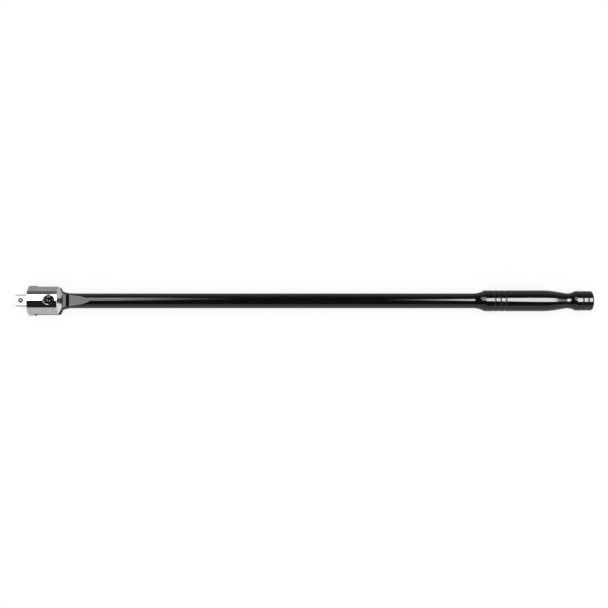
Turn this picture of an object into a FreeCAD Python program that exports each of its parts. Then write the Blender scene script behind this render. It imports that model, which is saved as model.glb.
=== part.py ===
import FreeCAD, Part
import math
import os

from FreeCAD import Vector

# Half-inch drive breaker bar: a long turned handle with a flat-sided ball tongue, held by a
# shoulder screw in the slot of a round swivelling drive head.
# The bar lies along X, drive end at -X. The pivot screw stands along Z. Lengths are millimetres.
# The origin is at the middle of the overall length, under the bar, level with the head's lowest point.

# Overall
OVERALL_LENGTH = 635.0
HALF_LENGTH = OVERALL_LENGTH / 2

# Square drive
DRIVE_SQUARE = 12.7
DRIVE_EDGE_CHAMFER = 1.5
DRIVE_TIP_CHAMFER = 0.8
DRIVE_LENGTH = 14.8
DRIVE_TIP_X = -HALF_LENGTH

# Drive head
HEAD_RADIUS = 16.65
HEAD_FRONT_X = DRIVE_TIP_X + DRIVE_LENGTH
HEAD_REAR_X = -265.6
HEAD_FRONT_ROUND = 0.7
REAR_CONE_LENGTH = 4.0
REAR_CONE_ANGLE = 60.0
AXIS_HEIGHT = HEAD_RADIUS

# Slot and tongue
PIVOT_X = -278.4
TONGUE_RADIUS = 15.0
TONGUE_THICKNESS = 12.8
SLOT_SIDE_GAP = 0.2
SLOT_WIDTH = TONGUE_THICKNESS + 2 * SLOT_SIDE_GAP
SLOT_BOTTOM_GAP = 2.0
SLOT_BOTTOM_X = PIVOT_X - TONGUE_RADIUS - SLOT_BOTTOM_GAP
SLOT_EDGE_CHAMFER = 0.4

# Pivot screw
SHOULDER_RADIUS = 4.0
PIVOT_RUNNING_GAP = 0.05
SEAT_GAP = 0.02
SCREW_HEAD_RADIUS = 5.0
SCREW_HEAD_HEIGHT = 4.6
SCREW_HEAD_DOME = 1.0
SCREW_SOCKET_FLATS = 5.0
SCREW_SOCKET_DEPTH = 3.0
SCREW_SOCKET_SIDES = 6
SCREW_SOCKET_DRILL_ANGLE = 30.0
SCREW_SEAT_Z = 10.2
COUNTERBORE_RADIUS = 5.25
COUNTERBORE_RIM_RADIUS = 6.25
COUNTERBORE_RIM_DROP = 0.5
SHOULDER_END_Z = -8.8
THREAD_RADIUS = 3.0
THREAD_END_Z = -15.2
THREAD_END_CHAMFER = 0.5
FAR_RIM_RADIUS = 3.9

# Ball detent in the square drive, and friction ball that presses on the tongue
BALL_RADIUS = 2.5
BALL_BORE_GAP = 0.05
BALL_BORE_RADIUS = BALL_RADIUS + BALL_BORE_GAP
DETENT_X = -311.1
DETENT_PROTRUSION = 0.86
DETENT_RIM_RADIUS = 2.95
DETENT_RIM_DEPTH = 0.4
DETENT_BORE_BOTTOM_Z = -3.5
FRICTION_CONTACT_GAP = 0.05
FRICTION_BORE_END_X = -307.4

# Coil springs
SPRING_WIRE_RADIUS = 0.25
SPRING_MEAN_RADIUS = 1.9
SPRING_END_GAP = 0.03
DETENT_SPRING_COILS = 5
FRICTION_SPRING_COILS = 8

# Handle shaft, tongue and neck
SHAFT_RADIUS = 8.2
NECK_FLARE_RADIUS = 30.0
TONGUE_FACE_END_X = -261.8
FLAT_VALLEY_X = -257.5
FLAT_VALLEY_HEIGHT = 5.4
FLAT_TIP_X = -235.4

# Turned grip
GRIP_FLARE_START_X = 186.5
GRIP_FLARE_RADIUS = 24.6
GRIP_RADIUS = 11.55
SHOULDER_CURVE_RADIUS = 100.0
GRIP_TAPER_ANGLE = 10.0
WAIST_X = 290.5
WAIST_RADIUS = 8.3
WAIST_CURVE_RADIUS = 16.0
KNOB_RADIUS = 10.75
KNOB_END_ROUND = 2.0
GROOVE_WIDTH = 1.8
GROOVE_DEPTH = 0.4
GRIP_GROOVE_FIRST_X = 209.0
GRIP_GROOVE_PITCH = 6.0
GRIP_GROOVE_COUNT = 3
KNOB_GROOVE_FIRST_X = 305.7
KNOB_GROOVE_PITCH = 5.7
KNOB_GROOVE_COUNT = 2

ALONG_X = Vector(1, 0, 0)
ALONG_Y = Vector(0, 1, 0)
ALONG_Z = Vector(0, 0, 1)
PARTS_FOLDER = "parts"
MATCH_TOLERANCE = 0.01


def on_section(x, radius):
    """A point of a turned outline: place along the bar, and radius from its centre line."""
    return Vector(x, 0, AXIS_HEIGHT + radius)


def line(start, end):
    return Part.LineSegment(on_section(*start), on_section(*end)).toShape()


def arc(centre, radius, start_angle, end_angle):
    """An arc of a turned outline, from one angle to the other, in degrees from the +X direction."""
    points = []
    for angle in (start_angle, (start_angle + end_angle) / 2, end_angle):
        turn = math.radians(angle)
        points.append(on_section(centre[0] + radius * math.cos(turn), centre[1] + radius * math.sin(turn)))
    return Part.Arc(*points).toShape()


def turned(edges):
    """The solid swept by a closed outline that is turned once round the bar's centre line."""
    face = Part.Face(Part.Wire(Part.sortEdges(edges)[0]))
    return face.revolve(on_section(0, 0), ALONG_X, 360)


def cylinder_z(x, radius, low, high):
    """A cylinder along Z, with its ends given as heights from the bar's centre line."""
    return Part.makeCylinder(radius, high - low, Vector(x, 0, AXIS_HEIGHT + low), ALONG_Z)


def cone_z(x, low_radius, high_radius, low, high):
    return Part.makeCone(low_radius, high_radius, high - low, Vector(x, 0, AXIS_HEIGHT + low), ALONG_Z)


def block(x_range, y_half, z_range):
    size = (x_range[1] - x_range[0], 2 * y_half, z_range[1] - z_range[0])
    return Part.makeBox(*size, Vector(x_range[0], -y_half, AXIS_HEIGHT + z_range[0]))


def ring_grooves(first_x, pitch, count, surface_radius):
    """Round-bottomed grooves cut round a turned surface."""
    cutter_radius = (GROOVE_WIDTH ** 2 / 4 + GROOVE_DEPTH ** 2) / (2 * GROOVE_DEPTH)
    ring_radius = surface_radius + cutter_radius - GROOVE_DEPTH
    rings = []
    for index in range(count):
        centre = on_section(first_x + index * pitch, 0)
        rings.append(Part.makeTorus(ring_radius, cutter_radius, centre, ALONG_X))
    return rings


def handle_outline():
    """Ball end, neck flare, shaft, grip, waist and knob as one closed outline."""
    # The neck flare is a hollow arc, tangent to the ball end and to the shaft
    flare_rise = SHAFT_RADIUS + NECK_FLARE_RADIUS
    flare_span = math.sqrt((TONGUE_RADIUS + NECK_FLARE_RADIUS) ** 2 - flare_rise ** 2)
    flare_angle = math.degrees(math.atan2(flare_rise, flare_span))
    neck_end = (PIVOT_X + flare_span, SHAFT_RADIUS)
    ball_end = arc((PIVOT_X, 0), TONGUE_RADIUS, 180, flare_angle)
    neck = arc((PIVOT_X + flare_span, flare_rise), NECK_FLARE_RADIUS, 180 + flare_angle, 270)

    # The grip starts with a hollow flare that ends in a sharp corner
    flare_turn = math.degrees(math.acos(1 - (GRIP_RADIUS - SHAFT_RADIUS) / GRIP_FLARE_RADIUS))
    grip_start_x = GRIP_FLARE_START_X + GRIP_FLARE_RADIUS * math.sin(math.radians(flare_turn))
    flare_centre = (GRIP_FLARE_START_X, SHAFT_RADIUS + GRIP_FLARE_RADIUS)
    grip_flare = arc(flare_centre, GRIP_FLARE_RADIUS, 270, 270 + flare_turn)

    # A wide shoulder curve, a straight taper and a hollow waist, each tangent to the next
    taper = math.radians(GRIP_TAPER_ANGLE)
    waist_centre = (WAIST_X, WAIST_RADIUS + WAIST_CURVE_RADIUS)
    waist_start = (
        WAIST_X - WAIST_CURVE_RADIUS * math.sin(taper),
        waist_centre[1] - WAIST_CURVE_RADIUS * math.cos(taper),
    )
    shoulder_end_radius = GRIP_RADIUS - SHOULDER_CURVE_RADIUS * (1 - math.cos(taper))
    shoulder_end = (
        waist_start[0] - (shoulder_end_radius - waist_start[1]) / math.tan(taper),
        shoulder_end_radius,
    )
    grip_end_x = shoulder_end[0] - SHOULDER_CURVE_RADIUS * math.sin(taper)
    shoulder_centre = (grip_end_x, GRIP_RADIUS - SHOULDER_CURVE_RADIUS)
    shoulder = arc(shoulder_centre, SHOULDER_CURVE_RADIUS, 90, 90 - GRIP_TAPER_ANGLE)
    waist_turn = math.degrees(math.acos(1 - (KNOB_RADIUS - WAIST_RADIUS) / WAIST_CURVE_RADIUS))
    knob_start_x = WAIST_X + WAIST_CURVE_RADIUS * math.sin(math.radians(waist_turn))
    waist = arc(waist_centre, WAIST_CURVE_RADIUS, 270 - GRIP_TAPER_ANGLE, 270 + waist_turn)

    round_centre = (HALF_LENGTH - KNOB_END_ROUND, KNOB_RADIUS - KNOB_END_ROUND)
    return [
        ball_end,
        neck,
        line(neck_end, (GRIP_FLARE_START_X, SHAFT_RADIUS)),
        grip_flare,
        line((grip_start_x, GRIP_RADIUS), (grip_end_x, GRIP_RADIUS)),
        shoulder,
        line(shoulder_end, waist_start),
        waist,
        line((knob_start_x, KNOB_RADIUS), (round_centre[0], KNOB_RADIUS)),
        arc(round_centre, KNOB_END_ROUND, 90, 0),
        line((HALF_LENGTH, round_centre[1]), (HALF_LENGTH, 0)),
        line((HALF_LENGTH, 0), (PIVOT_X - TONGUE_RADIUS, 0)),
    ]


def tongue_flat(side):
    """What is milled off one side: level over the tongue, a dip behind it, and a ramp up to the shaft."""
    half = TONGUE_THICKNESS / 2
    slope = (SHAFT_RADIUS - FLAT_VALLEY_HEIGHT) / (FLAT_TIP_X - FLAT_VALLEY_X)
    run_out = TONGUE_RADIUS
    outer = SHAFT_RADIUS + slope * run_out
    start_x = PIVOT_X - 2 * TONGUE_RADIUS
    corners = [
        (start_x, half),
        (TONGUE_FACE_END_X, half),
        (FLAT_VALLEY_X, FLAT_VALLEY_HEIGHT),
        (FLAT_TIP_X + run_out, outer),
        (FLAT_TIP_X + run_out, 2 * TONGUE_RADIUS),
        (start_x, 2 * TONGUE_RADIUS),
    ]
    points = [Vector(x, -2 * TONGUE_RADIUS, AXIS_HEIGHT + side * height) for x, height in corners]
    face = Part.Face(Part.makePolygon(points + points[:1]))
    return face.extrude(4 * TONGUE_RADIUS * ALONG_Y)


def handle_bar():
    bar = turned(handle_outline())
    cutters = [tongue_flat(1), tongue_flat(-1)]
    bore_radius = SHOULDER_RADIUS + PIVOT_RUNNING_GAP
    cutters.append(cylinder_z(PIVOT_X, bore_radius, -TONGUE_THICKNESS, TONGUE_THICKNESS))
    cutters += ring_grooves(GRIP_GROOVE_FIRST_X, GRIP_GROOVE_PITCH, GRIP_GROOVE_COUNT, GRIP_RADIUS)
    cutters += ring_grooves(KNOB_GROOVE_FIRST_X, KNOB_GROOVE_PITCH, KNOB_GROOVE_COUNT, KNOB_RADIUS)
    return bar.cut(cutters)


def head_body():
    """The round body with a rounded front edge and a conical rear end."""
    cone_start_x = HEAD_REAR_X - REAR_CONE_LENGTH
    rear_radius = HEAD_RADIUS - REAR_CONE_LENGTH * math.tan(math.radians(REAR_CONE_ANGLE))
    round_centre = (HEAD_FRONT_X + HEAD_FRONT_ROUND, HEAD_RADIUS - HEAD_FRONT_ROUND)
    return turned([
        line((HEAD_FRONT_X, 0), (HEAD_FRONT_X, round_centre[1])),
        arc(round_centre, HEAD_FRONT_ROUND, 180, 90),
        line((round_centre[0], HEAD_RADIUS), (cone_start_x, HEAD_RADIUS)),
        line((cone_start_x, HEAD_RADIUS), (HEAD_REAR_X, rear_radius)),
        line((HEAD_REAR_X, rear_radius), (HEAD_REAR_X, 0)),
        line((HEAD_REAR_X, 0), (HEAD_FRONT_X, 0)),
    ])


def square_drive():
    """The square with its long edges and its tip chamfered. It starts inside the head's body."""
    flat = DRIVE_SQUARE / 2
    cut = flat - DRIVE_EDGE_CHAMFER
    corners = [(flat, cut), (cut, flat), (-cut, flat), (-flat, cut)]
    corners += [(-y, -z) for y, z in corners]
    points = [Vector(DRIVE_TIP_X, y, AXIS_HEIGHT + z) for y, z in corners]
    face = Part.Face(Part.makePolygon(points + points[:1]))
    prism = face.extrude((DRIVE_LENGTH + HEAD_FRONT_ROUND) * ALONG_X)
    tip_edges = [edge for edge in prism.Edges if abs(edge.BoundBox.XMax - DRIVE_TIP_X) < HEAD_FRONT_ROUND]
    return prism.makeChamfer(DRIVE_TIP_CHAMFER, tip_edges)


def slotted(body):
    """Cuts the tongue's slot right across the head, and chamfers the long edges of its mouths."""
    slot_half = SLOT_WIDTH / 2
    slot = block((SLOT_BOTTOM_X, HEAD_REAR_X + HEAD_RADIUS), 2 * HEAD_RADIUS, (-slot_half, slot_half))
    body = body.cut(slot)
    mouth_edges = []
    for edge in body.Edges:
        box = edge.BoundBox
        on_wall = abs(abs(edge.CenterOfMass.z - AXIS_HEIGHT) - slot_half) < MATCH_TOLERANCE
        along = box.YLength < MATCH_TOLERANCE and box.ZLength < MATCH_TOLERANCE
        if on_wall and along and abs(box.YMax) > TONGUE_RADIUS:
            mouth_edges.append(edge)
    return body.makeChamfer(SLOT_EDGE_CHAMFER, mouth_edges)


def pivot_bore():
    """The stepped hole for the pivot screw, with a countersunk rim at each side of the head."""
    gap = SEAT_GAP
    rim_rise = COUNTERBORE_RIM_RADIUS - COUNTERBORE_RADIUS
    near_rim_z = HEAD_RADIUS - COUNTERBORE_RIM_DROP - rim_rise
    near_rim_wide = COUNTERBORE_RADIUS + 2 * rim_rise
    far_rise = FAR_RIM_RADIUS - THREAD_RADIUS
    far_rim_z = -(HEAD_RADIUS - far_rise)
    return [
        cylinder_z(PIVOT_X, SHOULDER_RADIUS + gap, SHOULDER_END_Z, HEAD_RADIUS),
        cylinder_z(PIVOT_X, COUNTERBORE_RADIUS, SCREW_SEAT_Z, 2 * HEAD_RADIUS),
        cone_z(PIVOT_X, COUNTERBORE_RADIUS, near_rim_wide, near_rim_z, near_rim_z + 2 * rim_rise),
        cylinder_z(PIVOT_X, THREAD_RADIUS + gap, -2 * HEAD_RADIUS, 0),
        cone_z(PIVOT_X, THREAD_RADIUS + 2 * far_rise, THREAD_RADIUS, far_rim_z - 2 * far_rise, far_rim_z),
    ]


def detent_ball_height():
    """Height of the detent ball's centre above the bar's centre line."""
    return DRIVE_SQUARE / 2 + DETENT_PROTRUSION - BALL_RADIUS


def detent_pocket():
    """A bore with a ball-shaped top that keeps the ball in, and a staked, countersunk rim."""
    centre_height = detent_ball_height()
    face_height = DRIVE_SQUARE / 2
    rim_bottom = face_height - DETENT_RIM_DEPTH
    inner_radius = math.sqrt(BALL_BORE_RADIUS ** 2 - (rim_bottom - centre_height) ** 2)
    ball_top = Part.makeSphere(BALL_BORE_RADIUS, Vector(DETENT_X, 0, AXIS_HEIGHT + centre_height))
    bore = cylinder_z(DETENT_X, BALL_BORE_RADIUS, DETENT_BORE_BOTTOM_Z, centre_height)
    rim = cone_z(DETENT_X, inner_radius, DETENT_RIM_RADIUS, rim_bottom, face_height)
    return [ball_top, bore, rim]


def friction_bore():
    start = on_section(FRICTION_BORE_END_X, 0)
    return Part.makeCylinder(BALL_BORE_RADIUS, SLOT_BOTTOM_X - FRICTION_BORE_END_X, start, ALONG_X)


def drive_head():
    body = slotted(head_body()).fuse(square_drive())
    return body.cut(pivot_bore() + detent_pocket() + [friction_bore()])


def hexagon_socket(top):
    """The key socket of the pivot screw: a hexagon with a conical bottom."""
    corner_radius = SCREW_SOCKET_FLATS / math.sqrt(3)
    points = []
    for index in range(SCREW_SOCKET_SIDES):
        turn = math.tau * index / SCREW_SOCKET_SIDES
        across = Vector(corner_radius * math.cos(turn), corner_radius * math.sin(turn), 0)
        points.append(Vector(PIVOT_X, 0, AXIS_HEIGHT + top - SCREW_SOCKET_DEPTH) + across)
    face = Part.Face(Part.makePolygon(points + points[:1]))
    prism = face.extrude(2 * SCREW_SOCKET_DEPTH * ALONG_Z)
    drill_radius = SCREW_SOCKET_FLATS / 2
    drill_tip = drill_radius * math.tan(math.radians(SCREW_SOCKET_DRILL_ANGLE))
    bottom = top - SCREW_SOCKET_DEPTH
    return [prism, cone_z(PIVOT_X, 0, drill_radius, bottom - drill_tip, bottom)]


def pivot_screw():
    """A shoulder screw: domed head with a key socket, bearing shoulder and threaded end."""
    head_rim = SCREW_SEAT_Z + SCREW_HEAD_HEIGHT - SCREW_HEAD_DOME
    head_top = SCREW_SEAT_Z + SCREW_HEAD_HEIGHT
    dome_radius = (SCREW_HEAD_RADIUS ** 2 + SCREW_HEAD_DOME ** 2) / (2 * SCREW_HEAD_DOME)
    dome = Part.makeSphere(dome_radius, Vector(PIVOT_X, 0, AXIS_HEIGHT + head_top - dome_radius))
    head = cylinder_z(PIVOT_X, SCREW_HEAD_RADIUS, SCREW_SEAT_Z, head_top).common(dome)
    shoulder = cylinder_z(PIVOT_X, SHOULDER_RADIUS, SHOULDER_END_Z + SEAT_GAP, head_rim)
    chamfer_start = THREAD_END_Z + THREAD_END_CHAMFER
    thread = cylinder_z(PIVOT_X, THREAD_RADIUS, chamfer_start, 0)
    tip = cone_z(PIVOT_X, THREAD_RADIUS - THREAD_END_CHAMFER, THREAD_RADIUS, THREAD_END_Z, chamfer_start)
    return head.fuse([shoulder, thread, tip]).removeSplitter().cut(hexagon_socket(head_top))


def friction_ball_x():
    return PIVOT_X - TONGUE_RADIUS - FRICTION_CONTACT_GAP - BALL_RADIUS


def detent_ball():
    return Part.makeSphere(BALL_RADIUS, Vector(DETENT_X, 0, AXIS_HEIGHT + detent_ball_height()))


def friction_ball():
    return Part.makeSphere(BALL_RADIUS, on_section(friction_ball_x(), 0))


def coil_spring(length, coils):
    """An open coil spring that stands on the XY plane and fills the given length along Z."""
    rise = length - 2 * SPRING_WIRE_RADIUS
    helix = Part.makeHelix(rise / coils, rise, SPRING_MEAN_RADIUS)
    start = Vector(SPRING_MEAN_RADIUS, 0, 0)
    section = Part.Wire(Part.makeCircle(SPRING_WIRE_RADIUS, start, ALONG_Y))
    spring = Part.Wire(helix.Edges).makePipeShell([section], True, True)
    spring.translate(SPRING_WIRE_RADIUS * ALONG_Z)
    return spring


def detent_spring():
    bottom = DETENT_BORE_BOTTOM_Z + SPRING_END_GAP
    reach = math.sqrt(BALL_RADIUS ** 2 - SPRING_MEAN_RADIUS ** 2)
    top = detent_ball_height() - reach - SPRING_WIRE_RADIUS
    spring = coil_spring(top - bottom, DETENT_SPRING_COILS)
    spring.translate(Vector(DETENT_X, 0, AXIS_HEIGHT + bottom))
    return spring


def friction_spring():
    start = FRICTION_BORE_END_X + SPRING_END_GAP
    reach = math.sqrt(BALL_RADIUS ** 2 - SPRING_MEAN_RADIUS ** 2)
    end = friction_ball_x() - reach - SPRING_WIRE_RADIUS
    spring = coil_spring(end - start, FRICTION_SPRING_COILS)
    spring.rotate(Vector(0, 0, 0), ALONG_Y, 90)
    spring.translate(on_section(start, 0))
    return spring


SUB_PARTS = {
    "handle_bar": handle_bar,
    "drive_head": drive_head,
    "pivot_screw": pivot_screw,
    "detent_ball": detent_ball,
    "detent_spring": detent_spring,
    "friction_ball": friction_ball,
    "friction_spring": friction_spring,
}


def main():
    os.makedirs(PARTS_FOLDER, exist_ok=True)
    for name, make in SUB_PARTS.items():
        shape = make()
        box = shape.BoundBox
        shape.exportStep(os.path.join(PARTS_FOLDER, name + ".step"))
        print(name, "valid" if shape.isValid() else "INVALID", len(shape.Solids), "solid",
              "x %.2f..%.2f" % (box.XMin, box.XMax), "y %.2f..%.2f" % (box.YMin, box.YMax),
              "z %.2f..%.2f" % (box.ZMin, box.ZMax), "volume %.1f" % shape.Volume)


main()
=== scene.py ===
import math

import bmesh
import bpy
from mathutils import Matrix, Vector


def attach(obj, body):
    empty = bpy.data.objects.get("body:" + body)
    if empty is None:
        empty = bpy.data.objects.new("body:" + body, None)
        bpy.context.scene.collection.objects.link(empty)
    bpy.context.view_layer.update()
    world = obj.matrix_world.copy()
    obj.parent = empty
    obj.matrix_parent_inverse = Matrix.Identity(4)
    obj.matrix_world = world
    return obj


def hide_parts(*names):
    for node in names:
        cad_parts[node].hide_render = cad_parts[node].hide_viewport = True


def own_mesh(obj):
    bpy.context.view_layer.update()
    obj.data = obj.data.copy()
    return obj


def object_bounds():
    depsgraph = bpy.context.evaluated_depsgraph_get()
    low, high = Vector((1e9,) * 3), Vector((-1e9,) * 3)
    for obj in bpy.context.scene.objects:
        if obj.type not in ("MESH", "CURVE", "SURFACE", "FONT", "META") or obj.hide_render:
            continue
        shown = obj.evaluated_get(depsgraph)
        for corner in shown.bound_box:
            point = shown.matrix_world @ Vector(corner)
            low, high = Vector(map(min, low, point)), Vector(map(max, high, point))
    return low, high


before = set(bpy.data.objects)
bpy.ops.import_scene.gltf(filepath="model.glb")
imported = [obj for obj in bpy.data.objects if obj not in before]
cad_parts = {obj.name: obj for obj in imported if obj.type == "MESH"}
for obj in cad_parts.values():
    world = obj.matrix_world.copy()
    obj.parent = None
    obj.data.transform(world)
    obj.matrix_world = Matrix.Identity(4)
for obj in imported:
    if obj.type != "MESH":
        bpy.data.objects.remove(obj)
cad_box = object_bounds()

# ---------------------------------------------------------------- the tool's own measures
# Lengths are millimetres. Outlines are (along, radius) pairs; Z heights count from the bar's centre line.
MM = 0.001
LOW, HIGH = (Vector(corner) for corner in cad_box)
AXIS_Z = (LOW.z + HIGH.z) / 2
HALF_LENGTH = (HIGH.x - LOW.x) / 2 / MM
HEAD_RADIUS = (HIGH.z - LOW.z) / 2 / MM

DRIVE_SQUARE = 12.7
DRIVE_EDGE_CHAMFER = 1.5
DRIVE_TIP_CHAMFER = 0.8
HEAD_FRONT_X = -HALF_LENGTH + 14.8
HEAD_REAR_X = -265.6
HEAD_FRONT_ROUND = 0.7
REAR_CONE_LENGTH = 4.0
REAR_CONE_ANGLE = math.radians(60)

PIVOT_X = -278.4
TONGUE_RADIUS = 15.0
TONGUE_THICKNESS = 12.8
TONGUE_BORE_GAP = 0.05
SLOT_WIDTH = 13.2
SLOT_END_GAP = 2.0
SLOT_BOTTOM_X = PIVOT_X - TONGUE_RADIUS - SLOT_END_GAP

SHOULDER_RADIUS = 4.0
SCREW_HEAD_RADIUS = 5.0
SCREW_SEAT = 10.2
SCREW_HEAD_TOP = SCREW_SEAT + 4.6
SCREW_DOME = 1.0
SCREW_SOCKET_FLATS = 5.0
SCREW_SOCKET_DEPTH = 3.0
SCREW_EDGE_SOFTNESS = 0.3
KEY_LEAD_IN = 0.25
DRILL_POINT_ANGLE = math.radians(30)
SCREW_HOLE_GAP = 0.02
COUNTERBORE_RADIUS = 5.25
COUNTERBORE_FLARE = 1.0
COUNTERBORE_FLARE_TOP = HEAD_RADIUS - 0.5
FAR_HOLE_FLARE = 0.9
SHOULDER_END = -8.8
THREAD_RADIUS = 3.0
THREAD_PITCH = 1.0
THREAD_DEPTH = 0.5
THREAD_LEAD = 0.5
THREAD_RUN_OUT = 0.2
SCREW_END = -15.2

BALL_RADIUS = 2.5
BALL_BORE_RADIUS = 2.55
DETENT_X = -311.1
DETENT_PROUD = 0.86
DETENT_HEIGHT = DRIVE_SQUARE / 2 + DETENT_PROUD - BALL_RADIUS
STAKE_RADII = (2.1, 2.5, 2.95)
STAKE_DEPTH = 0.5
DETENT_BORE_BOTTOM = -3.5
FRICTION_BALL_GAP = 0.05
FRICTION_BALL_X = PIVOT_X - TONGUE_RADIUS - FRICTION_BALL_GAP - BALL_RADIUS
FRICTION_BORE_END_X = -307.4

WIRE_RADIUS = 0.25
COIL_RADIUS = 1.9
SPRING_END_GAP = 0.03
DETENT_COILS = 4
FRICTION_COILS = 7

SHAFT_RADIUS = 8.2
NECK_FLARE_RADIUS = 30.0
TONGUE_FACE_END_X = -261.8
FLAT_VALLEY_X = -257.5
FLAT_VALLEY = 5.4
FLAT_TIP_X = -235.4

GRIP_FLARE_X = 186.5
GRIP_FLARE_RADIUS = 24.6
GRIP_RADIUS = 11.55
GRIP_SHOULDER_RADIUS = 100.0
GRIP_TAPER = math.radians(10)
WAIST_X = 290.5
WAIST_RADIUS = 8.3
WAIST_CURVE = 16.0
KNOB_RADIUS = 10.75
KNOB_END_ROUND = 2.0
GROOVE_WIDTH = 1.8
GROOVE_DEPTH = 0.4
GRIP_GROOVES = [209.0, 215.0, 221.0]
KNOB_GROOVES = [305.7, 311.4]

ROUND_STEPS = 160
FINE_STEPS = 64
EDGE_SOFTNESS = 0.22
HEAD_EDGE_SOFTNESS = 0.15
SHARP_ANGLE = math.radians(28)
MERGE_DISTANCE = 0.003


# ---------------------------------------------------------------- materials
class Surface:
    """A node material with its Principled shader, and short ways to wire textures into it."""

    def __init__(self, name):
        self.material = bpy.data.materials.new(name)
        self.material.use_nodes = True
        self.nodes = self.material.node_tree.nodes
        self.links = self.material.node_tree.links
        self.shader = self.nodes["Principled BSDF"]
        self.place = self.nodes.new("ShaderNodeTexCoord").outputs["Object"]

    def set(self, **values):
        for name, value in values.items():
            self.shader.inputs[name.replace("_", " ")].default_value = value

    def noise(self, grain, detail=4.0, roughness=0.55):
        """Noise whose grain is this many metres along X, Y and Z."""
        scale = self.nodes.new("ShaderNodeMapping")
        scale.inputs["Scale"].default_value = [1 / size for size in grain]
        self.links.new(self.place, scale.inputs["Vector"])
        noise = self.nodes.new("ShaderNodeTexNoise")
        noise.inputs["Scale"].default_value = 1.0
        noise.inputs["Detail"].default_value = detail
        noise.inputs["Roughness"].default_value = roughness
        self.links.new(scale.outputs["Vector"], noise.inputs["Vector"])
        return noise.outputs["Fac"]

    def spread(self, value, low, high, out_low, out_high):
        """Maps a value from one range to another, clamped."""
        spread = self.nodes.new("ShaderNodeMapRange")
        spread.inputs["From Min"].default_value = low
        spread.inputs["From Max"].default_value = high
        spread.inputs["To Min"].default_value = out_low
        spread.inputs["To Max"].default_value = out_high
        self.links.new(value, spread.inputs["Value"])
        return spread.outputs["Result"]

    def math(self, operation, first, second):
        """A Math node over two values, each a socket or a number."""
        node = self.nodes.new("ShaderNodeMath")
        node.operation = operation
        for value, socket in zip((first, second), node.inputs):
            if isinstance(value, (int, float)):
                socket.default_value = value
            else:
                self.links.new(value, socket)
        return node.outputs[0]

    def tint(self, factor, dark, light):
        """Base colour between two colours."""
        mix = self.nodes.new("ShaderNodeMix")
        mix.data_type = "RGBA"
        mix.inputs[6].default_value = (*dark, 1)
        mix.inputs[7].default_value = (*light, 1)
        self.links.new(factor, mix.inputs[0])
        self.links.new(mix.outputs[2], self.shader.inputs["Base Color"])

    def rough(self, value):
        self.links.new(value, self.shader.inputs["Roughness"])

    def bump(self, *layers):
        """Bumps from (height, depth in metres) pairs, one on top of the other."""
        normal = None
        for height, depth in layers:
            bump = self.nodes.new("ShaderNodeBump")
            bump.inputs["Strength"].default_value = 1.0
            bump.inputs["Distance"].default_value = depth
            self.links.new(height, bump.inputs["Height"])
            if normal:
                self.links.new(normal, bump.inputs["Normal"])
            normal = bump.outputs["Normal"]
        self.links.new(normal, self.shader.inputs["Normal"])


def black_enamel():
    """Gloss black paint with faint orange peel, uneven gloss and hairline rubs."""
    paint = Surface("black_enamel")
    paint.set(Metallic=0.0, IOR=1.5)
    cloud = paint.noise((0.03, 0.012, 0.012), detail=5)
    paint.tint(cloud, (0.003, 0.003, 0.003), (0.006, 0.006, 0.0062))
    paint.rough(paint.spread(cloud, 0.35, 0.7, 0.05, 0.1))
    peel = paint.noise((0.0022, 0.0022, 0.0022), detail=2)
    rubs = paint.noise((0.012, 0.0004, 0.0004), detail=3)
    paint.bump((peel, 6e-6), (rubs, 6e-7))
    return paint.material


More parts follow.
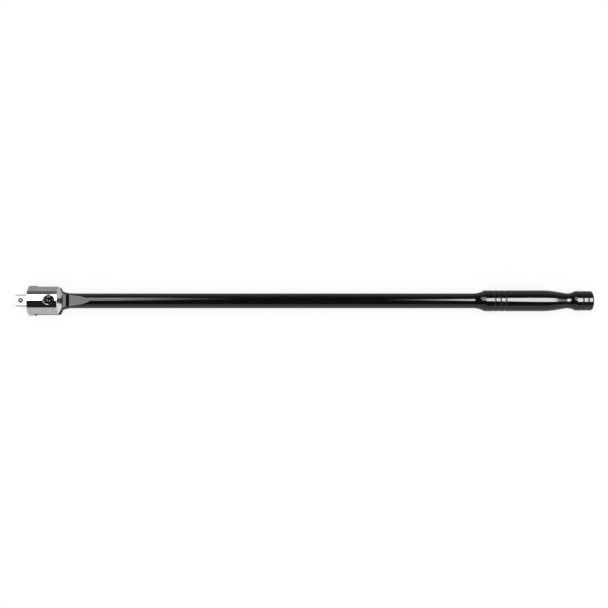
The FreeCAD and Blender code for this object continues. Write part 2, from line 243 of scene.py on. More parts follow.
def polished_chrome():
    """
    Bright chrome over turned and polished steel: fine marks run round the head. The rear cone is painted
    brighter, as a painted reflection, and the slot and the punched ring round the detent ball are rougher,
    with painted shade.
    """
    margin = 0.05
    ring_margin = 0.1
    # The second value is a painted highlight: it brightens the rear cone's chrome to stand for a brighter
    # reflection.
    plating, cone_painted_highlight = 0.62, 0.98
    # This share darkens the chrome in the slot and the punched ring: painted shade.
    painted_shade_share = 0.2
    dull_roughness = 0.45
    chrome = Surface("polished_chrome")
    chrome.set(Metallic=1.0)
    cloud = chrome.noise((0.006, 0.006, 0.006), detail=5)
    spot = chrome.nodes.new("ShaderNodeSeparateXYZ")
    chrome.links.new(chrome.place, spot.inputs[0])
    off_axis = chrome.math("ABSOLUTE", chrome.math("SUBTRACT", spot.outputs["Z"], AXIS_Z), 0)
    between = chrome.math("LESS_THAN", off_axis, (SLOT_WIDTH / 2 + margin) * MM)
    behind = chrome.math("GREATER_THAN", spot.outputs["X"], (SLOT_BOTTOM_X - margin) * MM)
    in_slot = chrome.math("MULTIPLY", between, behind)
    beside = chrome.math("SUBTRACT", spot.outputs["X"], DETENT_X * MM)
    across = chrome.math("POWER", spot.outputs["Y"], 2)
    reach = chrome.math("ADD", chrome.math("POWER", beside, 2), across)
    in_ring = chrome.math("LESS_THAN", reach, ((STAKE_RADII[-1] + ring_margin) * MM) ** 2)
    # Painted shade: this mask darkens the chrome in the slot and the punched ring, and also makes them
    # rougher.
    painted_shade_and_dull = chrome.math("MAXIMUM", in_slot, in_ring)
    bright = chrome.spread(cloud, 0.3, 0.7, 0.9, 1.0)
    # Painted highlight: the chrome on the rear cone is brightened here to stand for a brighter reflection.
    on_cone = chrome.math("GREATER_THAN", spot.outputs["X"], (HEAD_REAR_X - REAR_CONE_LENGTH) * MM)
    plating_with_painted_highlight = chrome.math("MULTIPLY", bright, chrome.spread(on_cone, 0, 1, plating, cone_painted_highlight))
    shade = chrome.math("MULTIPLY", plating_with_painted_highlight, chrome.spread(painted_shade_and_dull, 0, 1, 1.0, painted_shade_share))
    chrome.tint(shade, (0.0, 0.0, 0.0), (0.99, 1.0, 1.0))
    gloss = chrome.spread(cloud, 0.3, 0.75, 0.04, 0.09)
    chrome.rough(chrome.math("MAXIMUM", gloss, chrome.spread(painted_shade_and_dull, 0, 1, 0.0, dull_roughness)))
    marks = chrome.noise((0.00025, 0.006, 0.006), detail=3)
    ripple = chrome.noise((0.005, 0.005, 0.005), detail=2)
    chrome.bump((marks, 4e-7), (ripple, 5e-6))
    return chrome.material


def black_oxide():
    """Blackened screw steel, satin, with turning marks on its head."""
    steel = Surface("black_oxide")
    steel.set(Metallic=0.0, IOR=1.5)
    cloud = steel.noise((0.002, 0.002, 0.002), detail=5)
    steel.tint(cloud, (0.004, 0.004, 0.004), (0.009, 0.009, 0.0092))
    steel.rough(steel.spread(cloud, 0.3, 0.7, 0.12, 0.22))
    grain = steel.noise((0.0002, 0.0002, 0.0002), detail=3)
    steel.bump((grain, 2e-6))
    return steel.material


def bearing_steel():
    """Polished ball steel with the faint smear of handling."""
    steel = Surface("bearing_steel")
    steel.set(Metallic=1.0)
    cloud = steel.noise((0.0012, 0.0012, 0.0012), detail=4)
    steel.tint(cloud, (0.36, 0.365, 0.37), (0.44, 0.445, 0.45))
    steel.rough(steel.spread(cloud, 0.3, 0.7, 0.06, 0.14))
    steel.bump((cloud, 1e-6))
    return steel.material


def spring_steel():
    """Drawn spring wire, slightly dull."""
    wire = Surface("spring_steel")
    wire.set(Metallic=1.0)
    cloud = wire.noise((0.0008, 0.0008, 0.0008), detail=4)
    wire.tint(cloud, (0.3, 0.3, 0.305), (0.42, 0.42, 0.425))
    wire.rough(wire.spread(cloud, 0.3, 0.7, 0.25, 0.42))
    wire.bump((wire.noise((0.0001, 0.0001, 0.0006)), 2e-6))
    return wire.material


MATERIALS = {
    "black_enamel": black_enamel(),
    "polished_chrome": polished_chrome(),
    "black_oxide": black_oxide(),
    "bearing_steel": bearing_steel(),
    "spring_steel": spring_steel(),
}


# ---------------------------------------------------------------- mesh tools
def arc(centre, radius, start, end, step=math.radians(4)):
    """Points of an outline along an arc; angles run from the along direction towards the radius."""
    count = max(2, math.ceil(abs(end - start) / step))
    turns = [start + (end - start) * index / count for index in range(count + 1)]
    return [(centre[0] + radius * math.cos(turn), centre[1] + radius * math.sin(turn)) for turn in turns]


def softened(outline, reach=EDGE_SOFTNESS, sharp=math.radians(14), steps=4):
    """The outline with its sharp corners rolled over, as paint, plating and tumbling leave them."""
    points = [Vector(point) for point in outline]
    result = [points[0]]
    for before, corner, after in zip(points, points[1:], points[2:]):
        back = before - corner
        ahead = after - corner
        if math.pi - back.angle(ahead) < sharp:
            result.append(corner)
            continue
        first = corner + back.normalized() * min(reach, back.length * 0.45)
        last = corner + ahead.normalized() * min(reach, ahead.length * 0.45)
        for index in range(steps + 1):
            share = index / steps
            result.append(first.lerp(corner, share).lerp(corner.lerp(last, share), share))
    result.append(points[-1])
    return [tuple(point) for point in result]


def turned(outline, steps=ROUND_STEPS, ridge=None, hollow=False):
    """
    A body of revolution round the X axis; `ridge` adds to the radius at a place and turn.
    A hollow one is a ring with its outline closed away from the axis.
    """
    bm = bmesh.new()
    rings = []
    for along, radius in outline:
        if radius < 1e-6:
            rings.append([bm.verts.new((along, 0, 0))])
            continue
        ring = []
        for index in range(steps):
            turn = math.tau * index / steps
            size = radius + (ridge(along, turn) if ridge else 0)
            ring.append(bm.verts.new((along, size * math.sin(turn), size * math.cos(turn))))
        rings.append(ring)
    for near, far in zip(rings, rings[1:] + rings[:1] * hollow):
        for index in range(steps):
            following = (index + 1) % steps
            if len(near) == 1:
                bm.faces.new((near[0], far[index], far[following]))
            elif len(far) == 1:
                bm.faces.new((near[index], far[0], near[following]))
            else:
                bm.faces.new((near[index], far[index], far[following], near[following]))
    for ends in (rings[0], rings[-1]):
        if len(ends) > 1 and not hollow:
            bm.faces.new(ends)
    bmesh.ops.recalc_face_normals(bm, faces=bm.faces)
    return bm


def prism(corners, depth_axis, low, high):
    """A straight prism over a closed outline; corners are pairs in the other two axes."""
    bm = bmesh.new()
    ends = []
    for depth in (low, high):
        ends.append([])
        for first, second in corners:
            place = {"X": (depth, first, second), "Y": (first, depth, second), "Z": (first, second, depth)}
            ends[-1].append(bm.verts.new(place[depth_axis]))
    for end in ends:
        bm.faces.new(end)
    for index in range(len(corners)):
        following = (index + 1) % len(corners)
        bm.faces.new((ends[0][index], ends[0][following], ends[1][following], ends[1][index]))
    bmesh.ops.recalc_face_normals(bm, faces=bm.faces)
    return bm


def upright(bm, x, height=0.0):
    """Stands a body that was turned round X on the Z axis, at this place along the bar."""
    bm.transform(Matrix.Translation((x, 0, height)) @ Matrix.Rotation(-math.pi / 2, 4, "Y"))
    return bm


def solid(name, bm):
    """An object from a mesh in millimetres round the bar's centre line, moved to its place in metres."""
    bm.transform(Matrix.Translation((0, 0, AXIS_Z)) @ Matrix.Scale(MM, 4))
    mesh = bpy.data.meshes.new(name)
    bm.to_mesh(mesh)
    bm.free()
    piece = bpy.data.objects.new(name, mesh)
    bpy.context.scene.collection.objects.link(piece)
    return piece


def worked(piece, cuts, joins=()):
    """The piece with bodies joined to it and cut out of it, and crisp edges where they meet its skin."""
    skin = bpy.data.materials.new("skin")
    tool_mark = bpy.data.materials.new("tool_mark")
    piece.data.materials.append(skin)
    tools = [(body, "UNION") for body in joins] + [(body, "DIFFERENCE") for body in cuts]
    tools = [(solid("cutter", body), operation) for body, operation in tools]
    for tool, operation in tools:
        tool.data.materials.append(tool_mark)
        cut = piece.modifiers.new("cut", "BOOLEAN")
        cut.solver = "EXACT"
        cut.operation = operation
        cut.material_mode = "TRANSFER"
        cut.object = tool
    graph = bpy.context.evaluated_depsgraph_get()
    mesh = bpy.data.meshes.new_from_object(piece.evaluated_get(graph))
    mesh.name = piece.name
    piece.modifiers.clear()
    piece.data = mesh
    for tool, operation in tools:
        bpy.data.objects.remove(tool)
    bm = bmesh.new()
    bm.from_mesh(mesh)
    bmesh.ops.remove_doubles(bm, verts=bm.verts, dist=MERGE_DISTANCE * MM)
    bmesh.ops.dissolve_degenerate(bm, edges=bm.edges, dist=MERGE_DISTANCE * MM)
    for edge in bm.edges:
        kinds = {face.material_index for face in edge.link_faces}
        edge.smooth = len(kinds) == 1 and edge.calc_face_angle(0) < SHARP_ANGLE
    for face in bm.faces:
        face.material_index = 0
    bm.to_mesh(mesh)
    bm.free()
    bpy.data.materials.remove(skin)
    bpy.data.materials.remove(tool_mark)
    even = piece.modifiers.new("even", "WEIGHTED_NORMAL")
    even.keep_sharp = True
    return piece


def finished(piece, body, slot_name, node):
    """Smooth shading, material, and the places that the piece takes in the model."""
    for face in piece.data.polygons:
        face.use_smooth = True
    piece.data.materials.clear()
    piece.data.materials.append(MATERIALS[slot_name])
    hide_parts(node)
    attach(piece, body)


# ---------------------------------------------------------------- handle bar
def grooved(centres, radius):
    """Outline points of round-bottomed grooves in a plain turned stretch."""
    cutter = (GROOVE_WIDTH ** 2 / 4 + GROOVE_DEPTH ** 2) / (2 * GROOVE_DEPTH)
    reach = math.asin(GROOVE_WIDTH / 2 / cutter)
    points = []
    for centre in centres:
        middle = (centre, radius - GROOVE_DEPTH + cutter)
        points += arc(middle, cutter, -math.pi / 2 - reach, -math.pi / 2 + reach, math.radians(12))
    return points


def handle_outline():
    """Ball end, neck flare, shaft, grip, waist and knob."""
    flare_rise = SHAFT_RADIUS + NECK_FLARE_RADIUS
    flare_span = math.sqrt((TONGUE_RADIUS + NECK_FLARE_RADIUS) ** 2 - flare_rise ** 2)
    flare_angle = math.atan2(flare_rise, flare_span)
    points = arc((PIVOT_X, 0), TONGUE_RADIUS, math.pi, flare_angle)[:-1]
    neck_centre = (PIVOT_X + flare_span, flare_rise)
    points += arc(neck_centre, NECK_FLARE_RADIUS, math.pi + flare_angle, 1.5 * math.pi)

    flare_turn = math.acos(1 - (GRIP_RADIUS - SHAFT_RADIUS) / GRIP_FLARE_RADIUS)
    flare_centre = (GRIP_FLARE_X, SHAFT_RADIUS + GRIP_FLARE_RADIUS)
    points += arc(flare_centre, GRIP_FLARE_RADIUS, 1.5 * math.pi, 1.5 * math.pi + flare_turn)
    points += grooved(GRIP_GROOVES, GRIP_RADIUS)

    waist_centre = (WAIST_X, WAIST_RADIUS + WAIST_CURVE)
    waist_x = WAIST_X - WAIST_CURVE * math.sin(GRIP_TAPER)
    waist_radius = waist_centre[1] - WAIST_CURVE * math.cos(GRIP_TAPER)
    shoulder_radius = GRIP_RADIUS - GRIP_SHOULDER_RADIUS * (1 - math.cos(GRIP_TAPER))
    shoulder_x = waist_x - (shoulder_radius - waist_radius) / math.tan(GRIP_TAPER)
    shoulder_centre = (
        shoulder_x - GRIP_SHOULDER_RADIUS * math.sin(GRIP_TAPER),
        GRIP_RADIUS - GRIP_SHOULDER_RADIUS,
    )
    taper_start = math.pi / 2 - GRIP_TAPER
    points += arc(shoulder_centre, GRIP_SHOULDER_RADIUS, math.pi / 2, taper_start, math.radians(1))
    waist_turn = math.acos(1 - (KNOB_RADIUS - WAIST_RADIUS) / WAIST_CURVE)
    points += arc(waist_centre, WAIST_CURVE, 1.5 * math.pi - GRIP_TAPER, 1.5 * math.pi + waist_turn)
    points += grooved(KNOB_GROOVES, KNOB_RADIUS)
    end_centre = (HALF_LENGTH - KNOB_END_ROUND, KNOB_RADIUS - KNOB_END_ROUND)
    points += arc(end_centre, KNOB_END_ROUND, math.pi / 2, 0, math.radians(10))
    return points + [(HALF_LENGTH, 0)]


def tongue_flat(side):
    """What is milled off one side: level over the tongue, a dip behind it, a ramp up to the shaft."""
    half = TONGUE_THICKNESS / 2
    slope = (SHAFT_RADIUS - FLAT_VALLEY) / (FLAT_TIP_X - FLAT_VALLEY_X)
    run_out = TONGUE_RADIUS
    corners = [
        (PIVOT_X - 2 * TONGUE_RADIUS, half),
        (TONGUE_FACE_END_X, half),
        (FLAT_VALLEY_X, FLAT_VALLEY),
        (FLAT_TIP_X + run_out, SHAFT_RADIUS + slope * run_out),
        (FLAT_TIP_X + run_out, 2 * TONGUE_RADIUS),
        (PIVOT_X - 2 * TONGUE_RADIUS, 2 * TONGUE_RADIUS),
    ]
    corners = [(x, side * height) for x, height in corners]
    return prism(corners, "Y", -2 * TONGUE_RADIUS, 2 * TONGUE_RADIUS)


def handle_bar():
    """The turned bar with its tongue milled flat on both sides and bored for the screw's shoulder."""
    bar = solid("handle_bar_turned", turned(softened(handle_outline())))
    bore = [(-TONGUE_THICKNESS, 0), (-TONGUE_THICKNESS, SHOULDER_RADIUS + TONGUE_BORE_GAP)]
    bore += [(-along, radius) for along, radius in reversed(bore)]
    worked(bar, [tongue_flat(1), tongue_flat(-1), upright(turned(bore, FINE_STEPS), PIVOT_X)])
    finished(bar, "handle", "black_enamel", "handle_bar")


# ---------------------------------------------------------------- drive head
def head_outline():
    """Flat front with a rounded edge, plain cylinder and a conical rear."""
    front = (HEAD_FRONT_X + HEAD_FRONT_ROUND, HEAD_RADIUS - HEAD_FRONT_ROUND)
    rear_radius = HEAD_RADIUS - REAR_CONE_LENGTH * math.tan(REAR_CONE_ANGLE)
    points = [(HEAD_FRONT_X, 0)]
    points += arc(front, HEAD_FRONT_ROUND, math.pi, math.pi / 2, math.radians(15))
    points += [(HEAD_REAR_X - REAR_CONE_LENGTH, HEAD_RADIUS), (HEAD_REAR_X, rear_radius), (HEAD_REAR_X, 0)]
    return points


def square_drive():
    """The square with chamfered long edges and a chamfered tip."""
    flat = DRIVE_SQUARE / 2
    bm = bmesh.new()
    root_depth = 2.0
    stations = [
        (-HALF_LENGTH, DRIVE_TIP_CHAMFER),
        (-HALF_LENGTH + DRIVE_TIP_CHAMFER, 0),
        (HEAD_FRONT_X + root_depth, 0),
    ]
    rings = []
    for x, inset in stations:
        side = flat - inset
        cut = flat - DRIVE_EDGE_CHAMFER - inset * math.tan(math.pi / 8)
        corners = [(side, cut), (cut, side), (-cut, side), (-side, cut)]
        corners += [(-y, -z) for y, z in corners]
        rings.append([bm.verts.new((x, y, z)) for y, z in corners])
    for near, far in zip(rings, rings[1:]):
        for index in range(len(near)):
            following = (index + 1) % len(near)
            bm.faces.new((near[index], near[following], far[following], far[index]))
    bm.faces.new(rings[0])
    bm.faces.new(rings[-1])
    bmesh.ops.recalc_face_normals(bm, faces=bm.faces)
    return bm


def pivot_hole():
    """Stepped hole for the pivot screw: counterbore with a countersunk rim, shoulder bore, thread bore."""
    rim_foot = COUNTERBORE_FLARE_TOP - COUNTERBORE_FLARE
    far_foot = -(HEAD_RADIUS - FAR_HOLE_FLARE)
    outside = 2 * HEAD_RADIUS
    steps = [
        (-outside, 0),
        (-outside, THREAD_RADIUS + outside + far_foot),
        (far_foot, THREAD_RADIUS + SCREW_HOLE_GAP),
        (SHOULDER_END, THREAD_RADIUS + SCREW_HOLE_GAP),
        (SHOULDER_END, SHOULDER_RADIUS + SCREW_HOLE_GAP),
        (SCREW_SEAT, SHOULDER_RADIUS + SCREW_HOLE_GAP),
        (SCREW_SEAT, COUNTERBORE_RADIUS),
        (rim_foot, COUNTERBORE_RADIUS),
        (outside, COUNTERBORE_RADIUS + outside - rim_foot),
        (outside, 0),
    ]
    return upright(turned(steps, FINE_STEPS), PIVOT_X)


def detent_pocket():
    """Bore for the detent ball, closed in over the ball up to the square's face."""
    neck_angle = math.asin((DRIVE_SQUARE / 2 - DETENT_HEIGHT) / BALL_BORE_RADIUS)
    steps = [(DETENT_BORE_BOTTOM, 0), (DETENT_BORE_BOTTOM, BALL_BORE_RADIUS)]
    steps += [(DETENT_HEIGHT + along, radius) for along, radius in
              arc((0, 0), BALL_BORE_RADIUS, math.pi / 2, math.pi / 2 - neck_angle)]
    outside = (DRIVE_SQUARE, steps[-1][1])
    return upright(turned(steps + [outside, (DRIVE_SQUARE, 0)], FINE_STEPS), DETENT_X)


def stake_ring():
    """The round punch mark that closes the bore's edge in over the ball."""
    face = DRIVE_SQUARE / 2
    inner, deepest, outer = STAKE_RADII
    outside = face + 1
    ring = [(face - STAKE_DEPTH, deepest), (face, outer), (outside, outer), (outside, inner), (face, inner)]
    return upright(turned(ring, FINE_STEPS, hollow=True), DETENT_X)


def drive_head():
    """The turned head with its square, and with the slot, its flared mouths and the bores cut out."""
    head = solid("drive_head_machined", turned(softened(head_outline(), HEAD_EDGE_SOFTNESS)))
    half = SLOT_WIDTH / 2
    outside = 2 * HEAD_RADIUS
    slot_corners = [(SLOT_BOTTOM_X, -half), (HEAD_REAR_X + outside, -half), (HEAD_REAR_X + outside, half),
                    (SLOT_BOTTOM_X, half)]
    slot = prism(slot_corners, "Y", -outside, outside)
    mouths = []
    for side in (-1, 1):
        flare = [(TONGUE_RADIUS, -half), (HEAD_RADIUS, -half - HEAD_RADIUS + TONGUE_RADIUS),
                 (HEAD_RADIUS, half + HEAD_RADIUS - TONGUE_RADIUS), (TONGUE_RADIUS, half)]
        flare = [(side * y, z) for y, z in flare]
        mouths.append(prism(flare, "X", SLOT_BOTTOM_X, HEAD_REAR_X + outside))
    bore_end = [(FRICTION_BORE_END_X, 0), (FRICTION_BORE_END_X, BALL_BORE_RADIUS)]
    bore_mouth = [(SLOT_BOTTOM_X + half, BALL_BORE_RADIUS), (SLOT_BOTTOM_X + half, 0)]
    friction_bore = turned(bore_end + bore_mouth, FINE_STEPS)
    cuts = [slot, *mouths, pivot_hole(), detent_pocket(), stake_ring(), friction_bore]
    worked(head, cuts, [square_drive()])
    finished(head, "head", "polished_chrome", "drive_head")


# ---------------------------------------------------------------- pivot screw
def screw_ridge(along, turn):
    """How far the thread's flank stands back from the crest at this height and turn."""
    if not SCREW_END + 0.1 < along < SHOULDER_END - THREAD_RUN_OUT:
        return 0.0
    phase = (along / THREAD_PITCH + turn / math.tau) % 1.0
    flank = min(1.0, max(0.0, abs(2 * phase - 1) * 1.3 - 0.15))
    fade = min(1.0, max(0.0, (SHOULDER_END - THREAD_RUN_OUT - along) / (2 * THREAD_RUN_OUT)))
    return -THREAD_DEPTH * flank * fade


def pivot_screw():
    """Shoulder screw with a domed socket head and a rolled thread."""
    dome = (SCREW_HEAD_RADIUS ** 2 + SCREW_DOME ** 2) / (2 * SCREW_DOME)
    points = [(SCREW_END, 0), (SCREW_END, THREAD_RADIUS - THREAD_LEAD)]
    thread_start = SCREW_END + THREAD_LEAD
    samples = 80
    reach = SHOULDER_END - thread_start
    points += [(thread_start + reach * index / samples, THREAD_RADIUS) for index in range(samples)]
    shoulder_foot = SHOULDER_END + SCREW_HOLE_GAP
    points += [(shoulder_foot, THREAD_RADIUS), (shoulder_foot, SHOULDER_RADIUS)]
    points += [(SCREW_SEAT, SHOULDER_RADIUS), (SCREW_SEAT, SCREW_HEAD_RADIUS)]
    points += arc((SCREW_HEAD_TOP - dome, 0), dome, math.asin(SCREW_HEAD_RADIUS / dome), 0)
    body = turned(softened(points, SCREW_EDGE_SOFTNESS), FINE_STEPS * 2, screw_ridge)
    screw = solid("pivot_screw_threaded", upright(body, PIVOT_X))
    corner = SCREW_SOCKET_FLATS / math.sqrt(3)
    hexagon = [(PIVOT_X + corner * math.cos(math.tau * side / 6), corner * math.sin(math.tau * side / 6))
               for side in range(6)]
    floor_height = SCREW_HEAD_TOP - SCREW_SOCKET_DEPTH
    key_hole = prism(hexagon, "Z", floor_height, SCREW_HEAD_TOP + 1)
    drill = SCREW_SOCKET_FLATS / 2
    lead_in = corner + KEY_LEAD_IN
    drill_top = floor_height + 0.01
    drill_tip = floor_height - drill * math.tan(DRILL_POINT_ANGLE)
    tip = turned([(drill_tip, 0), (drill_top, drill), (drill_top, 0)], FINE_STEPS)
    outside = SCREW_HEAD_TOP + 1
    mouth = turned([(SCREW_HEAD_TOP - lead_in, 0), (outside, lead_in + 1), (outside, 0)], FINE_STEPS)
    worked(screw, [key_hole, upright(tip, PIVOT_X), upright(mouth, PIVOT_X)])
    finished(screw, "head", "black_oxide", "pivot_screw")


# ---------------------------------------------------------------- balls and springs
def ball(name, x, height, body, node):
    """A bearing ball with an even mesh: a finely divided cube blown up to a sphere."""
    bm = bmesh.new()
    bmesh.ops.create_cube(bm, size=2)
    bmesh.ops.subdivide_edges(bm, edges=bm.edges, cuts=23, use_grid_fill=True)
    for vertex in bm.verts:
        vertex.co = vertex.co.normalized() * BALL_RADIUS + Vector((x, 0, height))
    finished(solid(name, bm), body, "bearing_steel", node)


def spring(start, length, coils):
    """A compression spring round the X axis: open coils with one closed coil at each end."""
    per_turn = 40
    sides = 12
    closed = 1.0
    bm = bmesh.new()
    turns = coils + 2 * closed
    free = length - 2 * WIRE_RADIUS - 2 * closed * 2 * WIRE_RADIUS
    rings = []
    total = int(turns * per_turn)
    for index in range(total + 1):
        turn = index / per_turn
        opened = min(max(turn - closed, 0.0), coils)
        shut = turn - opened
        along = start + WIRE_RADIUS + shut * 2 * WIRE_RADIUS + free * opened / coils
        angle = math.tau * turn
        ring = []
        for side in range(sides):
            roll = math.tau * side / sides
            x = along + WIRE_RADIUS * math.sin(roll)
            radius = COIL_RADIUS + WIRE_RADIUS * math.cos(roll)
            ring.append(bm.verts.new((x, radius * math.sin(angle), radius * math.cos(angle))))
        rings.append(ring)
    for near, far in zip(rings, rings[1:]):
        for side in range(sides):
            following = (side + 1) % sides
            bm.faces.new((near[side], near[following], far[following], far[side]))
    bm.faces.new(rings[0])
    bm.faces.new(rings[-1])
    bmesh.ops.recalc_face_normals(bm, faces=bm.faces)
    return bm


def squashable_spring(name, bm):
    """A spring piece, finished like the others, with a mesh of its own."""
    piece = solid(name, bm)
    finished(piece, "head", "spring_steel", name[:-len("_coil")])
    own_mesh(piece)


def springs():
    """Both springs, each from the bottom of its bore to where its last coil meets the ball."""
    contact = math.sqrt(BALL_RADIUS ** 2 - COIL_RADIUS ** 2) + WIRE_RADIUS
    bottom = DETENT_BORE_BOTTOM + SPRING_END_GAP
    length = DETENT_HEIGHT - contact - bottom
    coil = upright(spring(bottom, length, DETENT_COILS), DETENT_X)
    squashable_spring("detent_spring_coil", coil)
    start = FRICTION_BORE_END_X + SPRING_END_GAP
    length = FRICTION_BALL_X - contact - start
    coil = spring(start, length, FRICTION_COILS)
    squashable_spring("friction_spring_coil", coil)


handle_bar()
drive_head()
pivot_screw()
ball("detent_ball_polished", DETENT_X, DETENT_HEIGHT, "detent_ball", "detent_ball")
ball("friction_ball_polished", FRICTION_BALL_X, 0, "friction_ball", "friction_ball")
springs()


# ---------------------------------------------------------------- studio
CAMERA_LEAN = math.radians(4)
CAMERA_LENS = 58.0
SENSOR_WIDTH = 36.0
VIEW_WIDTH = 0.671
CAMERA_SIDE = -0.02
AIM_Y = -0.0035
PANEL_HEIGHT = 1.0
PANEL_EDGE_SOFTNESS = 0.03
FILL_HEIGHT = 2.0
FILL_SIZE = 2.4
FILL_POWER = 38.0
BACKDROP = 0.95
FLOOR_REACH = 6.0


def camera():
    """
    Nearly straight down on the pivot screw's side, leaning a little towards -Y and standing a little on the
    head's side of the middle. The shift puts the middle of the tool back in the middle of the picture.
    """
    lens = bpy.data.cameras.new("camera")
    lens.lens = CAMERA_LENS
    lens.sensor_width = SENSOR_WIDTH
    eye = bpy.data.objects.new("camera", lens)
    bpy.context.scene.collection.objects.link(eye)
    distance = CAMERA_LENS / SENSOR_WIDTH * VIEW_WIDTH
    aim = Vector((0, AIM_Y, AXIS_Z))
    eye.location = aim + Vector((0, -math.sin(CAMERA_LEAN), math.cos(CAMERA_LEAN))) * distance
    eye.location.x = CAMERA_SIDE
    lens.shift_x = -CAMERA_SIDE / VIEW_WIDTH
    eye.rotation_euler = (CAMERA_LEAN, 0, 0)
    bpy.context.scene.camera = eye


def panel(name, inner, full, spread, dimming, outer, power, radiance, near, far):
    """
    A soft light over the tool, seen only as a reflection. Going outward along X it brightens from
    `inner` to `full` and fades from `dimming` to `outer`. Its edges in Y run from the first to the
    second value of `near` and `far` between `inner` and `spread`.
    """
    light = bpy.data.lights.new(name, "AREA")
    light.shape = "RECTANGLE"
    low_y = min(near)
    light.size = abs(outer - inner)
    light.size_y = max(far) - low_y
    light.energy = 1.0
    light.use_nodes = True
    nodes = light.node_tree.nodes
    links = light.node_tree.links
    parts = nodes.new("ShaderNodeSeparateXYZ")
    links.new(nodes.new("ShaderNodeNewGeometry").outputs["Position"], parts.inputs[0])

    def ramp(value, from_low, from_high, to_low, to_high, kind="LINEAR"):
        node = nodes.new("ShaderNodeMapRange")
        node.interpolation_type = kind
        for socket, given in zip(node.inputs[:5], (value, from_low, from_high, to_low, to_high)):
            if isinstance(given, (int, float)):
                socket.default_value = given
            else:
                links.new(given, socket)
        return node.outputs[0]

    def combine(operation, first, second):
        node = nodes.new("ShaderNodeMath")
        node.operation = operation
        links.new(first, node.inputs[0])
        if isinstance(second, (int, float)):
            node.inputs[1].default_value = second
        else:
            links.new(second, node.inputs[1])
        return node.outputs[0]

    x = parts.outputs["X"]
    y = parts.outputs["Y"]
    soft = PANEL_EDGE_SOFTNESS
    near_edge = ramp(x, inner, spread, *near)
    far_edge = ramp(x, inner, spread, *far)
    past_near = ramp(combine("SUBTRACT", y, near_edge), -soft, soft, 0.0, 1.0, "SMOOTHSTEP")
    past_far = ramp(combine("SUBTRACT", y, far_edge), -soft, soft, 1.0, 0.0, "SMOOTHSTEP")
    strength = combine("POWER", ramp(x, inner, full, 0.0, 1.0), power)
    strength = combine("MULTIPLY", strength, combine("MULTIPLY", past_near, past_far))
    strength = combine("MULTIPLY", strength, ramp(x, dimming, outer, 1.0, 0.0, "SMOOTHSTEP"))
    strength = combine("MULTIPLY", strength, radiance * math.pi * light.size * light.size_y)
    links.new(strength, nodes["Emission"].inputs["Strength"])
    lamp = bpy.data.objects.new(name, light)
    lamp.location = ((inner + outer) / 2, low_y + light.size_y / 2, PANEL_HEIGHT)
    lamp.visible_diffuse = False
    lamp.visible_camera = False
    bpy.context.scene.collection.objects.link(lamp)


def fill():
    """A broad overhead light for the floor."""
    light = bpy.data.lights.new("fill", "AREA")
    light.size = FILL_SIZE
    light.energy = FILL_POWER
    lamp = bpy.data.objects.new("fill", light)
    lamp.location = (0, 0, FILL_HEIGHT)
    lamp.visible_glossy = False
    lamp.visible_camera = False
    bpy.context.scene.collection.objects.link(lamp)


def surroundings():
    """
    Pale walls low down, a dark ceiling behind the panels. The stops are (place, grey) pairs by the height of
    the direction. The camera sees a plain pale backdrop instead.
    """
    world = bpy.data.worlds.new("studio")
    world.use_nodes = True
    nodes = world.node_tree.nodes
    links = world.node_tree.links
    way = nodes.new("ShaderNodeSeparateXYZ")
    links.new(nodes.new("ShaderNodeTexCoord").outputs["Generated"], way.inputs[0])

    def wall(stops):
        ramp = nodes.new("ShaderNodeValToRGB")
        ramp.color_ramp.elements[0].position = stops[0][0]
        ramp.color_ramp.elements[0].color = (*[stops[0][1]] * 3, 1)
        ramp.color_ramp.elements[1].position = stops[-1][0]
        ramp.color_ramp.elements[1].color = (*[stops[-1][1]] * 3, 1)
        for place, grey in stops[1:-1]:
            stop = ramp.color_ramp.elements.new(place)
            stop.color = (grey, grey, grey, 1)
        links.new(way.outputs["Z"], ramp.inputs["Fac"])
        return ramp.outputs["Color"]

    near = wall([(0.0, 0.75), (0.49, 0.75), (0.57, 0.02), (1.0, 0.02)])
    far = wall([(0.0, 0.5), (0.2, 0.5), (0.24, 0.18), (0.57, 0.18), (0.66, 0.02), (1.0, 0.02)])
    blend = 0.15
    side = nodes.new("ShaderNodeMapRange")
    side.inputs["From Min"].default_value = -blend
    side.inputs["From Max"].default_value = blend
    links.new(way.outputs["Y"], side.inputs["Value"])
    both = nodes.new("ShaderNodeMix")
    both.data_type = "RGBA"
    links.new(side.outputs["Result"], both.inputs[0])
    links.new(near, both.inputs[6])
    links.new(far, both.inputs[7])
    seen = nodes.new("ShaderNodeMix")
    seen.data_type = "RGBA"
    links.new(nodes.new("ShaderNodeLightPath").outputs["Is Camera Ray"], seen.inputs[0])
    links.new(both.outputs[2], seen.inputs[6])
    seen.inputs[7].default_value = (BACKDROP, BACKDROP, BACKDROP, 1)
    links.new(seen.outputs[2], nodes["Background"].inputs["Color"])
    bpy.context.scene.world = world


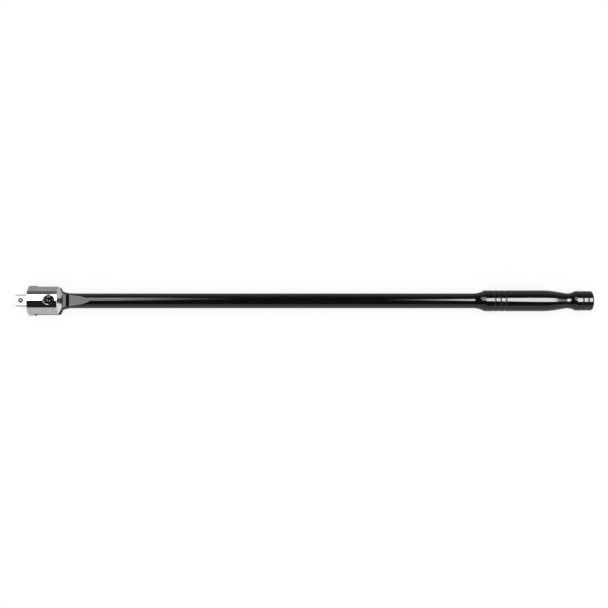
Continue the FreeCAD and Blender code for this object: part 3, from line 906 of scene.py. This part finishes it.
def sheet(name, greys, glow, drop):
    """
    A plain sheet that both the head and the grip rest on, so it rises a little towards the grip.
    It goes from the first grey to the second under the tool, from -Y to +Y.
    """
    grip_rest = ((GRIP_GROOVES[-1] + WAIST_X) / 2 * MM, AXIS_Z - GRIP_RADIUS * MM)
    head_rest = ((HEAD_REAR_X - REAR_CONE_LENGTH) * MM, LOW.z)
    slope = (grip_rest[1] - head_rest[1]) / (grip_rest[0] - head_rest[0])
    reach = FLOOR_REACH
    corners = [(-reach, -reach), (reach, -reach), (reach, reach), (-reach, reach)]
    mesh = bpy.data.meshes.new(name)
    points = [(x, y, head_rest[1] + slope * (x - head_rest[0]) - drop) for x, y in corners]
    mesh.from_pydata(points, [], [(0, 1, 2, 3)])
    flat = bpy.data.objects.new(name, mesh)
    bpy.context.scene.collection.objects.link(flat)
    paper = Surface(name)
    parts = paper.nodes.new("ShaderNodeSeparateXYZ")
    paper.links.new(paper.place, parts.inputs[0])
    blend = 0.02
    side = paper.spread(parts.outputs["Y"], -blend, blend, 0.0, 1.0)
    paper.tint(side, (greys[0],) * 3, (greys[1],) * 3)
    paper.set(Roughness=1.0, Specular_IOR_Level=0.0, Emission_Color=(1, 1, 1, 1), Emission_Strength=glow)
    mesh.materials.append(paper.material)
    flat.visible_shadow = False
    return flat


def floor():
    """A lit white sheet for the picture, and a duller one in the same place for the reflections."""
    sheet("floor", (0.26, 0.26), 0.8, 0.0).visible_glossy = False
    # Painted shade: the sheet that the tool reflects is darker on its +Y side, standing for the tool's
    # shadow there.
    sheet("floor_reflected", (0.54, 0.36), 0.0, 0.001).visible_camera = False


camera()
panel("key_panel", inner=-0.12, full=-0.39, spread=-0.38, dimming=-0.93, outer=-1.08, power=1.5,
      radiance=5.0, near=(0.37, -0.03), far=(0.7, 0.98))
panel("end_panel", inner=0.19, full=0.42, spread=0.53, dimming=0.77, outer=1.07, power=1.3,
      radiance=17.7, near=(0.16, -0.27), far=(0.26, 0.52))
fill()
surroundings()
floor()
bpy.context.scene.view_settings.view_transform = "Standard"
